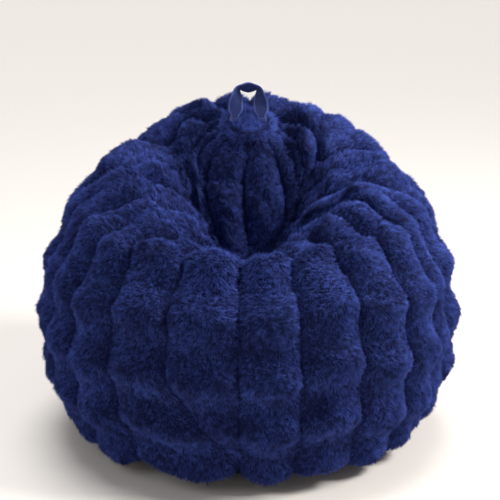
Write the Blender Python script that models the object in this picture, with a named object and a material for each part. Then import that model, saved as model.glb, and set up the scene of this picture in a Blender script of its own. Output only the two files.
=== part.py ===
"""Plush bean bag chair: six ribbed gores over a lined foam filling, with a base zip and a top handle.

Metres, +Z up. The front faces -Y, the floor is z = 0 and the origin is the centre of the base.
"""

import math

import bpy
import numpy as np

# Body: the cover's cloth line, without its pile, as (x, y, z) stations along five meridians. Each
# meridian starts at the base's edge and climbs the outer wall. FRONT, FRONT_SIDE and SIDE go over the
# crest, down into the seat hollow and up the backrest to the crown. BACK_SIDE and BACK climb straight
# to the crown. The left side mirrors the right one.
BASE_RADIUS = 0.300
BASE_Z = 0.010
CROWN_CENTRE = np.array([0.0, 0.165, 0.660])
CROWN_NORMAL = np.array([0.0, -0.450, 0.893])
FRONT = [
    (0, -0.300, 0.010), (0, -0.392, 0.050), (0, -0.440, 0.170), (0, -0.438, 0.305),
    (0, -0.390, 0.404), (0, -0.308, 0.448), (0, -0.208, 0.428), (0, -0.090, 0.370),
    (0, 0.015, 0.372), (0, 0.070, 0.462), (0, 0.100, 0.552), (0, 0.116, 0.624),
]
FRONT_SIDE = [
    (0.212, -0.212, 0.010), (0.279, -0.277, 0.050), (0.317, -0.312, 0.175), (0.320, -0.308, 0.320),
    (0.292, -0.262, 0.438), (0.240, -0.192, 0.492), (0.180, -0.122, 0.490), (0.112, -0.050, 0.434),
    (0.070, 0.022, 0.400), (0.088, 0.080, 0.476), (0.080, 0.108, 0.562), (0.042, 0.130, 0.632),
]
SIDE = [
    (0.300, 0, 0.010), (0.393, 0, 0.050), (0.445, 0, 0.175), (0.448, 0.004, 0.330),
    (0.408, 0.010, 0.470), (0.337, 0.014, 0.556), (0.258, 0.020, 0.566), (0.178, 0.038, 0.516),
    (0.116, 0.076, 0.476), (0.129, 0.116, 0.547), (0.109, 0.149, 0.613), (0.060, 0.170, 0.651),
]
BACK_SIDE = [
    (0.212, 0.212, 0.010), (0.279, 0.277, 0.050), (0.317, 0.316, 0.175), (0.322, 0.318, 0.330),
    (0.308, 0.290, 0.470), (0.280, 0.252, 0.568), (0.250, 0.228, 0.614), (0.214, 0.210, 0.642),
    (0.170, 0.198, 0.658), (0.128, 0.196, 0.668), (0.086, 0.201, 0.673), (0.042, 0.207, 0.670),
]
BACK = [
    (0, 0.300, 0.010), (0, 0.392, 0.050), (0, 0.440, 0.175), (0, 0.444, 0.330),
    (0, 0.434, 0.450), (0, 0.408, 0.545), (0, 0.380, 0.598), (0, 0.348, 0.642),
    (0, 0.312, 0.670), (0, 0.278, 0.684), (0, 0.248, 0.686), (0, 0.223, 0.678),
]
MERIDIANS = 8
TOP_STATION = len(FRONT) - 1
BLEND_STATION = TOP_STATION - 2.0
SLOPE_STEP = 0.001

CROWN_OUT = CROWN_NORMAL / np.linalg.norm(CROWN_NORMAL)
CROWN_BACK = np.cross(CROWN_OUT, [1.0, 0.0, 0.0])

# Cover: the gores anticlockwise from the seam at the front, with the width of each rib in degrees
FIRST_SEAM_DEG = -92.2
RIB_WIDTHS_DEG = {
    "front_right": (15.6, 17.1, 16.4, 14.4),
    "right": (9.3, 14.0, 15.3, 15.4),
    "back_right": (15.6, 15.6, 15.6, 15.7),
    "back_left": (14.7, 14.7, 14.7, 14.7),
    "left": (14.5, 14.5, 14.0, 12.1),
    "front_left": (14.6, 15.7, 16.9, 18.9),
}
RIB_STEPS = 4
ROWS = 24
SEAM_GAP_DEG = 0.05
PILE_AT_SEAM = 0.006
RIB_HEIGHT = 0.022
RIB_SHARE_OF_WIDTH = 0.22
RIB_ROUNDNESS = 0.6
COVER_INSIDE = 0.010
HOLLOW_STATIONS = (6.0, 7.5, 9.5, 11.0)
HOLLOW_PILE_SHARE = 0.25
CROWN_SIDES = 24
CROWN_PROFILE = ((0.93, -0.010), (0.93, 0.012), (0.82, 0.0215), (0.50, 0.0200), (0.22, 0.0175))

# Liner and filling, as depths below the cloth line
LINER_OUTSIDE = 0.018
LINER_INSIDE = 0.021
FILLING_OUTSIDE = 0.028
LINER_PANELS = 3
LINER_STEPS = 8
FILLING_SIDES = 24
LINER_NAMES = ("liner_side_right", "liner_side_back", "liner_side_left")

# Base panels
COVER_BASE_GAP = 0.0008
LINER_BASE_GAP = 0.0032
BASE_THICKNESS = 0.004
BASE_RAISE = 0.0055
RAISE_START_Y = 0.036
RAISE_END_Y = 0.020
PANEL_EDGE_Y = 0.010
OPENING_CLEARANCE = 0.0015
OPENING_CORNER = 0.001
BASE_COLUMNS = 20
PANEL_LEVELS = 9
PANEL_LEVELS_DEG = (16, 78)

# Zips, where TOUCH is the gap that touching pieces keep
COVER_ZIP_LENGTH = 0.50
LINER_ZIP_LENGTH = 0.36
TAPE_WIDTH = 0.015
TAPE_THICKNESS = 0.0008
TAPE_INNER_Y = 0.0009
TOOTH_INNER_Y = 0.0006
TOOTH_WIDTH = 0.0028
TOOTH_THICKNESS = 0.0020
TOUCH = 0.0003
STOP_LENGTH = 0.004
SLIDER_LENGTH = 0.010
SLIDER_WIDTH = 0.0096
SLIDER_PLATE = 0.0012
SLIDER_CLEARANCE = 0.0006
LIP_WIDTH = 0.0010
PIN_RADIUS = 0.0006
PIN_DROP = 0.0021
EAR_THICKNESS = 0.0009
EAR_INNER_Y = 0.0021
EAR_HALF_LENGTH = 0.0016
EAR_BELOW_PIN = 0.0012
EAR_SINK = 0.0004
STOP_CLEARANCE = 0.001
TAB_LENGTH = 0.021
TAB_WIDTH = 0.0070
TAB_THICKNESS = 0.0010
BARREL_RADIUS = 0.0014
BARREL_BORE = 0.0009
NECK_LENGTH = 0.0052
NECK_SINK = 0.0005
POST_CLEARANCE = 0.0002
LIP_CLEARANCE = 0.0004

# Handle
STRAP_WIDTH = 0.034
STRAP_THICKNESS = 0.003
FOOT_X = 0.031
BAR_X = 0.0265
HANDLE_RISE = 0.070
CORNER_REACH = 0.011
LEG_STEPS = 8
CORNER_STEPS = 6
BAR_STEPS = 4
CORNER_TWIST_DEG = 64
BAR_TWIST_DEG = 38
TWIST_STARTS = 0.22
CORNER_SHARE = 0.74
STRAP_CREASE_DEG = 40
TAIL_START_X = 0.014
TAIL_END_X = 0.043
TAIL_HALF_LENGTH = 0.011
TAIL_LIFT = 0.0158
TAIL_THICKNESS = 0.0025
HINGE_OFFSET = 0.0210
HINGE = CROWN_CENTRE + CROWN_OUT * HINGE_OFFSET

COLOURS = {
    "plush": (0.011, 0.018, 0.075, 1.0),
    "strap": (0.030, 0.050, 0.180, 1.0),
    "base_cloth": (0.012, 0.014, 0.030, 1.0),
    "liner_cloth": (0.60, 0.60, 0.58, 1.0),
    "foam": (0.70, 0.62, 0.42, 1.0),
    "zip_tape": (0.015, 0.020, 0.060, 1.0),
    "zip_teeth": (0.020, 0.025, 0.070, 1.0),
    "zip_metal": (0.45, 0.45, 0.47, 1.0),
}
ROUGHNESS = {"plush": 0.95, "strap": 0.45, "zip_teeth": 0.45, "zip_metal": 0.35}
CLOTH_ROUGHNESS = 0.8


def clear_scene():
    for thing in list(bpy.data.objects):
        bpy.data.objects.remove(thing, do_unlink=True)


def material(slot):
    made = bpy.data.materials.get(slot) or bpy.data.materials.new(slot)
    made.use_nodes = True
    shader = made.node_tree.nodes["Principled BSDF"]
    shader.inputs["Base Color"].default_value = COLOURS[slot]
    shader.inputs["Roughness"].default_value = ROUGHNESS.get(slot, CLOTH_ROUGHNESS)
    shader.inputs["Metallic"].default_value = 1.0 if slot == "zip_metal" else 0.0
    made.diffuse_color = COLOURS[slot]
    return made


def new_object(name, points, faces, slot, smooth=False, origin=(0, 0, 0), parent=None):
    """One mesh object whose points are given in world metres and whose origin is set apart."""
    origin = np.array(origin, dtype=float)
    mesh = bpy.data.meshes.new(name)
    mesh.from_pydata([tuple(p) for p in np.asarray(points) - origin], [], faces)
    mesh.validate()
    if smooth:
        mesh.shade_smooth()
    mesh.materials.append(material(slot))
    thing = bpy.data.objects.new(name, mesh)
    bpy.context.collection.objects.link(thing)
    thing.location = origin
    if parent is not None:
        thing.parent = parent
        thing.location = origin - np.array(parent.location)
    return thing


# Body surface

def mirrored(stations):
    return [(-x, y, z) for x, y, z in stations]


def smooth_step(share):
    share = np.clip(share, 0, 1)
    return share * share * (3 - 2 * share)


def station_waves():
    """The stations round the body as a Fourier series in the compass angle, eight meridians exact."""
    right_to_back = [SIDE, BACK_SIDE, BACK]
    left_to_front = [mirrored(BACK_SIDE), mirrored(SIDE), mirrored(FRONT_SIDE), FRONT, FRONT_SIDE]
    ring = np.array(right_to_back + left_to_front, dtype=float)
    return np.fft.rfft(ring, axis=0) / MERIDIANS


WAVES = station_waves()


def around(angle):
    """All stations of the meridians at these angles (radians): an array of angle, station, xyz."""
    angle = np.asarray(angle, dtype=float)[:, None, None]
    total = np.real(WAVES[0])[None] + np.zeros((len(angle), 1, 1))
    for k in range(1, MERIDIANS // 2 + 1):
        share = 1.0 if k == MERIDIANS // 2 else 2.0
        wave = np.real(WAVES[k]) * np.cos(k * angle) - np.imag(WAVES[k]) * np.sin(k * angle)
        total = total + share * wave
    return total


def along(stations, t):
    """Catmull-Rom through each meridian's stations, at the parameters t (0 base, TOP_STATION crown)."""
    before = 2 * stations[:, :1] - stations[:, 1:2]
    after = 2 * stations[:, -1:] - stations[:, -2:-1]
    padded = np.concatenate([before, stations, after], axis=1)
    t = np.clip(np.asarray(t, dtype=float), 0, TOP_STATION)
    i = np.minimum(t.astype(int), TOP_STATION - 1)
    u = (t - i)[None, :, None]
    a, b, c, d = (padded[:, i + k] for k in range(4))
    square = 2 * a - 5 * b + 4 * c - d
    cube = 3 * b - a - 3 * c + d
    return 0.5 * (2 * b + (c - a) * u + square * u**2 + cube * u**3)


def cloth(angle, t):
    """The cloth line, its outward normal and its width per radian on a grid of angle and t.

    The normal turns to the crown patch's own at the top and to straight down at the base's edge, so
    that layers on either side of the cloth meet the crown and the base squarely.
    """
    angle, t = np.asarray(angle, dtype=float), np.asarray(t, dtype=float)
    place = along(around(angle), t)
    east = along(around(angle + SLOPE_STEP), t) - along(around(angle - SLOPE_STEP), t)
    high = np.minimum(t + SLOPE_STEP, TOP_STATION)
    low = np.maximum(t - SLOPE_STEP, 0)
    north = along(around(angle), high) - along(around(angle), low)
    normal = np.cross(east, north)
    normal /= np.linalg.norm(normal, axis=2, keepdims=True)
    share = smooth_step((t - BLEND_STATION) / (TOP_STATION - BLEND_STATION))[None, :, None]
    normal = normal * (1 - share) + CROWN_OUT * share
    flat = np.clip(1 - t, 0, 1)[None, :, None]
    normal = normal * (1 - flat) + np.array([0, 0, -1.0]) * flat
    normal /= np.linalg.norm(normal, axis=2, keepdims=True)
    width = np.linalg.norm(east, axis=2) / (2 * SLOPE_STEP)
    return place, normal, width


def layer(angle, t, depth, floor):
    """The cloth line moved inward by depth, never lower than floor."""
    place, normal, _ = cloth(angle, t)
    moved = place - normal * depth
    moved[..., 2] = np.maximum(moved[..., 2], floor)
    return moved


def ribbed(angle, t, across, rib_angle):
    """The outside of the pile: padded ribs, lower where they are narrow or pressed together in the seat."""
    place, normal, width = cloth(angle, t)
    height = np.minimum(RIB_HEIGHT, RIB_SHARE_OF_WIDTH * width * rib_angle[:, None])
    bump = np.sin(np.pi * (across % 1.0))[:, None] ** RIB_ROUNDNESS
    pressed = np.interp(t, HOLLOW_STATIONS, (1.0, HOLLOW_PILE_SHARE, HOLLOW_PILE_SHARE, 1.0))[None, :]
    moved = place + normal * ((PILE_AT_SEAM + height * bump) * pressed)[..., None]
    moved[..., 2] = np.maximum(moved[..., 2], 0)
    return moved


# Closed solids from grids

def shell(outer, inner):
    """One closed solid between two grids of the same shape, the outer one facing out."""
    columns, rows = outer.shape[:2]
    points = np.concatenate([outer.reshape(-1, 3), inner.reshape(-1, 3)])
    half = columns * rows

    def at(i, j, side):
        return side * half + i * rows + j

    faces = []
    for i in range(columns - 1):
        for j in range(rows - 1):
            faces.append((at(i, j, 0), at(i + 1, j, 0), at(i + 1, j + 1, 0), at(i, j + 1, 0)))
            faces.append((at(i, j, 1), at(i, j + 1, 1), at(i + 1, j + 1, 1), at(i + 1, j, 1)))
    for i in range(columns - 1):
        faces.append((at(i, 0, 0), at(i, 0, 1), at(i + 1, 0, 1), at(i + 1, 0, 0)))
        top = rows - 1
        faces.append((at(i, top, 0), at(i + 1, top, 0), at(i + 1, top, 1), at(i, top, 1)))
    for j in range(rows - 1):
        faces.append((at(0, j, 0), at(0, j + 1, 0), at(0, j + 1, 1), at(0, j, 1)))
        last = columns - 1
        faces.append((at(last, j, 0), at(last, j, 1), at(last, j + 1, 1), at(last, j + 1, 0)))
    return points, faces


def barrel_solid(grid):
    """One closed solid whose sides are a grid of columns round a closed loop, with flat end caps."""
    columns, rows = grid.shape[:2]
    points = grid.reshape(-1, 3)
    faces = []
    for i in range(columns):
        k = (i + 1) % columns
        for j in range(rows - 1):
            faces.append((i * rows + j, k * rows + j, k * rows + j + 1, i * rows + j + 1))
    faces.append(tuple(i * rows for i in reversed(range(columns))))
    faces.append(tuple(i * rows + rows - 1 for i in range(columns)))
    return points, faces


def box(x0, x1, y0, y1, z0, z1):
    points = [(x, y, z) for x in (x0, x1) for y in (y0, y1) for z in (z0, z1)]
    faces = [(0, 1, 3, 2), (4, 6, 7, 5), (0, 4, 5, 1), (2, 3, 7, 6), (0, 2, 6, 4), (1, 5, 7, 3)]
    return points, faces


def prism(outline, axis, start, end):
    """A closed prism: an anticlockwise outline in the plane across an axis, run from start to end."""
    order = {"x": (1, 2, 0), "y": (2, 0, 1), "z": (0, 1, 2)}[axis]
    count = len(outline)
    points = []
    for level in (start, end):
        for a, b in outline:
            point = [0.0, 0.0, 0.0]
            point[order[0]], point[order[1]], point[order[2]] = a, b, level
            points.append(tuple(point))
    faces = [tuple(reversed(range(count))), tuple(range(count, 2 * count))]
    faces += [(i, (i + 1) % count, count + (i + 1) % count, count + i) for i in range(count)]
    return points, faces


def circle(a, b, radius, sides=16):
    turn = 2 * math.pi / sides
    return [(a + radius * math.cos(i * turn), b + radius * math.sin(i * turn)) for i in range(sides)]


# Cover

def gore(name, start_deg, rib_widths):
    """One gore of the cover, from the seam at start_deg over its ribs to the next seam."""
    ribs = len(rib_widths)
    across = np.linspace(0, ribs, ribs * RIB_STEPS + 1)
    creases = start_deg + np.concatenate([[0], np.cumsum(rib_widths)])
    degrees = np.interp(across, np.arange(ribs + 1), creases)
    degrees[0] += SEAM_GAP_DEG
    degrees[-1] -= SEAM_GAP_DEG
    angle = np.radians(degrees)
    rib_angle = np.radians(np.array(rib_widths)[np.minimum(across.astype(int), ribs - 1)])
    t = np.linspace(0, TOP_STATION, ROWS)
    outer = ribbed(angle, t, across, rib_angle)
    inner = layer(angle, t, COVER_INSIDE, BASE_Z)
    points, faces = shell(outer, inner)
    new_object(f"plush_gore_{name}", points, faces, "plush", smooth=True)


def crown_patch():
    """The round patch that the gores' tips are sewn to, domed, with its outside towards the handle."""
    angle = np.linspace(0, 2 * math.pi, CROWN_SIDES, endpoint=False)
    edge = along(around(angle), [TOP_STATION])[:, 0]
    rings = []
    for share, rise in CROWN_PROFILE:
        rings.append(CROWN_CENTRE + (edge - CROWN_CENTRE) * share + CROWN_OUT * rise)
    points, faces = barrel_solid(np.stack(rings, axis=1))
    new_object("plush_crown_patch", points, faces, "plush", smooth=True)


# Base and liner

def half_disc(name, side, radius, zip_length, z, thickness, slot, raise_by=0.0):
    """One half of a round panel, front (side -1) or back (+1).

    Its straight edge is raised for a zip, stands back along the zip and meets the other half beyond it.
    """
    levels = [RAISE_END_Y, RAISE_START_Y]
    levels += list(radius * np.sin(np.radians(np.linspace(*PANEL_LEVELS_DEG, PANEL_LEVELS))))
    opening = zip_length / 2 + OPENING_CLEARANCE
    corners = np.array([opening, opening + OPENING_CORNER]) / radius
    share = np.sort(np.concatenate([np.linspace(-1, 1, BASE_COLUMNS + 1), corners, -corners]))
    open_here = np.abs(share) < corners.mean()
    lower = np.zeros((len(share), len(levels) + 1, 3))
    lower[:, 0, 0] = share * radius
    lower[:, 0, 1] = side * np.where(open_here, PANEL_EDGE_Y, TOUCH / 2)
    lower[:, 0, 2] = z + raise_by
    for j, y in enumerate(levels, start=1):
        half_width = math.sqrt(radius * radius - y * y)
        lift = raise_by * np.clip((RAISE_START_Y - y) / (RAISE_START_Y - RAISE_END_Y), 0, 1)
        lower[:, j, 0] = share * half_width
        lower[:, j, 1] = side * y
        lower[:, j, 2] = z + lift
    upper = lower + np.array([0, 0, thickness])
    points, faces = shell(upper, lower) if side > 0 else shell(lower, upper)
    new_object(name, points, faces, slot)


def liner_panel(index):
    start = FIRST_SEAM_DEG + index * 360 / LINER_PANELS
    degrees = start + np.linspace(0, 360 / LINER_PANELS, LINER_STEPS + 1)
    degrees[0] += SEAM_GAP_DEG
    degrees[-1] -= SEAM_GAP_DEG
    angle = np.radians(degrees)
    t = np.linspace(0, TOP_STATION, ROWS)
    outer = layer(angle, t, LINER_OUTSIDE, BASE_Z + LINER_OUTSIDE)
    inner = layer(angle, t, LINER_INSIDE, BASE_Z + LINER_INSIDE)
    points, faces = shell(outer, inner)
    new_object(LINER_NAMES[index], points, faces, "liner_cloth", smooth=True)


def filling():
    angle = math.radians(FIRST_SEAM_DEG) + np.linspace(0, 2 * math.pi, FILLING_SIDES, endpoint=False)
    t = np.linspace(0, TOP_STATION, ROWS)
    points, faces = barrel_solid(layer(angle, t, FILLING_OUTSIDE, BASE_Z + FILLING_OUTSIDE))
    new_object("foam_filling", points, faces, "foam", smooth=True)


# Zips: the teeth face the floor, so the slider's tab hangs under them

def hidden(tool):
    """Marks a solid that only cuts or joins another, and isn't a piece of the chair by itself."""
    tool.hide_render = True
    tool.display_type = "WIRE"
    return tool


def joined(name, pieces, slot, origin, parent=None):
    """Overlapping closed pieces made one body with exact Booleans."""
    base = new_object(name, *pieces[0], slot, origin=origin, parent=parent)
    for number, piece in enumerate(pieces[1:]):
        union = base.modifiers.new(f"join_{number}", "BOOLEAN")
        union.operation = "UNION"
        union.solver = "EXACT"
        union.object = hidden(new_object(f"{name}_part_{number}", *piece, slot))
    return base


def zip_slider_mesh(x, tape_z):
    """A slider's two plates, joined by a post that runs between the rows of teeth, with edge lips.

    Gives the closed solid and the height of its underside.
    """
    under_top = tape_z - TOUCH - TOOTH_THICKNESS - SLIDER_CLEARANCE
    under_low = under_top - SLIDER_PLATE
    over_low = tape_z + TAPE_THICKNESS + SLIDER_CLEARANCE
    over_top = over_low + SLIDER_PLATE
    half = SLIDER_WIDTH / 2
    post = TOOTH_INNER_Y - POST_CLEARANCE
    lip = half - LIP_WIDTH
    lip_top = tape_z - LIP_CLEARANCE
    over_lip = tape_z + TAPE_THICKNESS + LIP_CLEARANCE
    outline = [
        (post, under_top), (lip, under_top), (lip, lip_top), (half, lip_top), (half, under_low),
        (-half, under_low), (-half, lip_top), (-lip, lip_top), (-lip, under_top), (-post, under_top),
        (-post, over_low), (-lip, over_low), (-lip, over_lip), (-half, over_lip), (-half, over_top),
        (half, over_top), (half, over_lip), (lip, over_lip), (lip, over_low), (post, over_low),
    ]
    return prism(outline[::-1], "x", x - SLIDER_LENGTH / 2, x + SLIDER_LENGTH / 2), under_low


def slider_ears(x, pivot_z, under_low):
    """The two ears under a slider and the pin between them that its pull tab turns on."""
    ears = []
    for side in (-1, 1):
        ear_y = sorted((side * EAR_INNER_Y, side * (EAR_INNER_Y + EAR_THICKNESS)))
        ears.append(box(x - EAR_HALF_LENGTH, x + EAR_HALF_LENGTH, *ear_y,
                        pivot_z - EAR_BELOW_PIN, under_low + EAR_SINK))
    reach = EAR_INNER_Y + EAR_THICKNESS / 2
    return ears + [prism(circle(pivot_z, x, PIN_RADIUS), "y", -reach, reach)]


def zip_pull(name, pivot_x, pivot_z, parent):
    """A pull tab whose barrel turns on the slider's pin; it lies along +X at rest."""
    half_barrel = EAR_INNER_Y - TOUCH
    low, high = pivot_z - TAB_THICKNESS / 2, pivot_z + TAB_THICKNESS / 2
    neck = box(pivot_x + BARREL_BORE + TOUCH, pivot_x + NECK_LENGTH, -half_barrel, half_barrel, low, high)
    grip_start = pivot_x + NECK_LENGTH - NECK_SINK
    grip = box(grip_start, grip_start + TAB_LENGTH, -TAB_WIDTH / 2, TAB_WIDTH / 2, low, high)
    barrel = prism(circle(pivot_z, pivot_x, BARREL_RADIUS), "y", -half_barrel, half_barrel)
    tab = joined(name, [barrel, neck, grip], "zip_metal", (pivot_x, 0, pivot_z), parent)
    bore = prism(circle(pivot_z, pivot_x, BARREL_BORE), "y", -TAB_WIDTH, TAB_WIDTH)
    cut = tab.modifiers.new("bore", "BOOLEAN")
    cut.operation = "DIFFERENCE"
    cut.solver = "EXACT"
    cut.object = hidden(new_object(name + "_bore", *bore, "zip_metal"))


def make_zip(prefix, length, tape_z, has_pull):
    """A straight zip along X under its tapes, closed, with its slider parked at the right-hand end."""
    half = length / 2
    teeth_z = (tape_z - TOUCH - TOOTH_THICKNESS, tape_z - TOUCH)
    for side, label in ((-1, "front"), (1, "back")):
        tape_y = sorted((side * TAPE_INNER_Y, side * (TAPE_INNER_Y + TAPE_WIDTH)))
        tape = box(-half, half, *tape_y, tape_z, tape_z + TAPE_THICKNESS)
        new_object(f"{prefix}_zip_tape_{label}", *tape, "zip_tape")
        tooth_y = sorted((side * TOOTH_INNER_Y, side * (TOOTH_INNER_Y + TOOTH_WIDTH)))
        tooth_end = half - STOP_LENGTH - TOUCH
        teeth = box(-tooth_end, tooth_end, *tooth_y, *teeth_z)
        new_object(f"{prefix}_zip_teeth_{label}", *teeth, "zip_teeth")
    stop_half = TOOTH_INNER_Y + TOOTH_WIDTH
    for start, label in ((-half, "open"), (half - STOP_LENGTH, "closed")):
        stop = box(start, start + STOP_LENGTH, -stop_half, stop_half, *teeth_z)
        new_object(f"{prefix}_zip_stop_{label}", *stop, "zip_metal")
    slider_x = half - STOP_LENGTH - STOP_CLEARANCE - SLIDER_LENGTH / 2
    slider_body, under_low = zip_slider_mesh(slider_x, tape_z)
    pivot_z = under_low - PIN_DROP
    pieces = [slider_body]
    if has_pull:
        pieces += slider_ears(slider_x, pivot_z, under_low)
    slider = joined(f"{prefix}_zip_slider", pieces, "zip_metal", (slider_x, 0, tape_z))
    if has_pull:
        zip_pull(f"{prefix}_zip_pull", slider_x, pivot_z, slider)


# Handle

def between(start, end, steps):
    return [start + (end - start) * i / steps for i in range(steps)]


def strap_path():
    """The strap's centre line from the left foot up, over the top bar and down to the right foot."""
    foot = np.array([-FOOT_X, 0.0])
    corner = np.array([-BAR_X, HANDLE_RISE])
    leg = (corner - foot) / np.linalg.norm(corner - foot)
    below = corner - leg * CORNER_REACH
    beside = corner + np.array([CORNER_REACH, 0.0])
    half = between(foot, below, LEG_STEPS)
    for i in range(CORNER_STEPS):
        u = i / CORNER_STEPS
        half.append(below * (1 - u) ** 2 + corner * 2 * u * (1 - u) + beside * u * u)
    middle = np.array([0.0, HANDLE_RISE])
    half += between(beside, middle, BAR_STEPS)
    flip = np.array([-1.0, 1.0])
    return np.array(half + [middle] + [p * flip for p in reversed(half)])


def strap_twist(path):
    """The strap's twist along its path: none at the feet, most at the corners, less on the bar."""
    length = np.concatenate([[0], np.cumsum(np.linalg.norm(np.diff(path, axis=0), axis=1))])
    share = 1 - np.abs(1 - 2 * length / length[-1])
    legs = CORNER_TWIST_DEG * smooth_step((share - TWIST_STARTS) / (CORNER_SHARE - TWIST_STARTS))
    bar = (CORNER_TWIST_DEG - BAR_TWIST_DEG) * smooth_step((share - CORNER_SHARE) / (1 - CORNER_SHARE))
    return np.radians(legs - bar)


def handle():
    """The strap's loop: its feet face the front, and its bar leans back, showing its inner face."""
    path = strap_path()
    ahead = np.gradient(path, axis=0)
    ahead /= np.linalg.norm(ahead, axis=1, keepdims=True)
    rings = []
    for (x, z), (way_x, way_z), twist in zip(path, ahead, strap_twist(path)):
        way = np.array([way_x, 0.0, way_z])
        depth = np.array([0.0, 1.0, 0.0])
        across = depth * math.sin(twist) + np.cross(depth, way) * math.cos(twist)
        out = np.cross(way, across)
        centre = HINGE + np.array([x, 0.0, z])
        edge, face = across * STRAP_WIDTH / 2, out * STRAP_THICKNESS / 2
        front, back = centre - face, centre + face
        rings.append([front - edge, front + edge, back + edge, back - edge])
    points, faces = barrel_solid(np.swapaxes(np.array(rings), 0, 1))
    strap = new_object("handle_strap", points, faces, "strap", smooth=True, origin=HINGE)
    strap.data.set_sharp_from_angle(angle=math.radians(STRAP_CREASE_DEG))


def handle_tail(side, label):
    """A strap end, sewn flat to the crown patch under the loop's foot."""
    across, back, out = (np.array(v) for v in ([1.0, 0.0, 0.0], CROWN_BACK, CROWN_OUT))
    start, end = sorted((side * TAIL_START_X, side * TAIL_END_X))
    top = TAIL_LIFT + TAIL_THICKNESS
    points, faces = box(start, end, -TAIL_HALF_LENGTH, TAIL_HALF_LENGTH, TAIL_LIFT, top)
    points = [CROWN_CENTRE + across * x + back * y + out * z for x, y, z in points]
    new_object(f"handle_tail_{label}", points, faces, "strap")


def build():
    clear_scene()
    seam = FIRST_SEAM_DEG
    for name, rib_widths in RIB_WIDTHS_DEG.items():
        gore(name, seam, rib_widths)
        seam += sum(rib_widths)
    crown_patch()
    for side, label in ((-1, "front"), (1, "back")):
        half_disc(f"base_panel_{label}", side, BASE_RADIUS - COVER_BASE_GAP, COVER_ZIP_LENGTH, 0.0,
                  BASE_THICKNESS, "base_cloth", BASE_RAISE)
        half_disc(f"liner_base_{label}", side, BASE_RADIUS - LINER_BASE_GAP, LINER_ZIP_LENGTH,
                  BASE_Z + LINER_OUTSIDE, LINER_INSIDE - LINER_OUTSIDE, "liner_cloth")
    make_zip("cover", COVER_ZIP_LENGTH, BASE_RAISE + BASE_THICKNESS + TOUCH, has_pull=True)
    for index in range(LINER_PANELS):
        liner_panel(index)
    make_zip("liner", LINER_ZIP_LENGTH, BASE_Z + LINER_INSIDE + TOUCH, has_pull=False)
    filling()
    handle()
    handle_tail(-1, "left")
    handle_tail(1, "right")


build()
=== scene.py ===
"""Plush bean bag chair: the visible surfaces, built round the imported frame.

Metres, +Z up. The front faces -Y, the floor is z = 0 and the origin is the centre of the base.
"""

import math

import bpy
import numpy as np
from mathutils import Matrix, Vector


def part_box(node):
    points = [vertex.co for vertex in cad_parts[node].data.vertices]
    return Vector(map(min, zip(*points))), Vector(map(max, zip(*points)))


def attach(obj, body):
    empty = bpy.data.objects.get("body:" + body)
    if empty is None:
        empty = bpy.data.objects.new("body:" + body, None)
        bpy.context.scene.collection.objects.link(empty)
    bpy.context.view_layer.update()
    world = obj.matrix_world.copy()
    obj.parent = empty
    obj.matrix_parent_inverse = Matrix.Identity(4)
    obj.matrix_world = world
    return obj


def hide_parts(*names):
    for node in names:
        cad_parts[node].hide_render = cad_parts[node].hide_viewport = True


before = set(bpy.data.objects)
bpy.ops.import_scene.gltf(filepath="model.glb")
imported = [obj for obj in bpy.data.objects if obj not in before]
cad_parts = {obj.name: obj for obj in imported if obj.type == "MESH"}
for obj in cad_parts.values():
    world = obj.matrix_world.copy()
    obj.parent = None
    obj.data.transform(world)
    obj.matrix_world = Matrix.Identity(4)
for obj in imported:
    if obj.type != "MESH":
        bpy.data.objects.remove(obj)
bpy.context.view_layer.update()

# The cover's cloth line, without its pile, as (x, y, z) stations along five meridians. Each meridian
# starts at the base's edge and climbs the outer wall. FRONT, FRONT_SIDE and SIDE go over the crest,
# down into the seat hollow and up the backrest to the crown. BACK_SIDE and BACK climb straight to the
# crown. The left side mirrors the right one.
CROWN_CENTRE = np.array([0.0, 0.165, 0.660])
CROWN_NORMAL = np.array([0.0, -0.450, 0.893])
FRONT = [
    (0, -0.300, 0.010), (0, -0.392, 0.050), (0, -0.440, 0.170), (0, -0.438, 0.305),
    (0, -0.390, 0.404), (0, -0.308, 0.448), (0, -0.208, 0.428), (0, -0.090, 0.370),
    (0, 0.015, 0.372), (0, 0.070, 0.462), (0, 0.100, 0.552), (0, 0.116, 0.624),
]
FRONT_SIDE = [
    (0.212, -0.212, 0.010), (0.279, -0.277, 0.050), (0.317, -0.312, 0.175), (0.320, -0.308, 0.320),
    (0.292, -0.262, 0.438), (0.240, -0.192, 0.492), (0.180, -0.122, 0.490), (0.112, -0.050, 0.434),
    (0.070, 0.022, 0.400), (0.088, 0.080, 0.476), (0.080, 0.108, 0.562), (0.042, 0.130, 0.632),
]
SIDE = [
    (0.300, 0, 0.010), (0.393, 0, 0.050), (0.445, 0, 0.175), (0.448, 0.004, 0.330),
    (0.408, 0.010, 0.470), (0.337, 0.014, 0.556), (0.258, 0.020, 0.566), (0.178, 0.038, 0.516),
    (0.116, 0.076, 0.476), (0.129, 0.116, 0.547), (0.109, 0.149, 0.613), (0.060, 0.170, 0.651),
]
BACK_SIDE = [
    (0.212, 0.212, 0.010), (0.279, 0.277, 0.050), (0.317, 0.316, 0.175), (0.322, 0.318, 0.330),
    (0.308, 0.290, 0.470), (0.280, 0.252, 0.568), (0.250, 0.228, 0.614), (0.214, 0.210, 0.642),
    (0.170, 0.198, 0.658), (0.128, 0.196, 0.668), (0.086, 0.201, 0.673), (0.042, 0.207, 0.670),
]
BACK = [
    (0, 0.300, 0.010), (0, 0.392, 0.050), (0, 0.440, 0.175), (0, 0.444, 0.330),
    (0, 0.434, 0.450), (0, 0.408, 0.545), (0, 0.380, 0.598), (0, 0.348, 0.642),
    (0, 0.312, 0.670), (0, 0.278, 0.684), (0, 0.248, 0.686), (0, 0.223, 0.678),
]
MERIDIANS = 8
TOP_STATION = len(FRONT) - 1
BLEND_STATION = TOP_STATION - 2.0
SLOPE_STEP = 0.001
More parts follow.
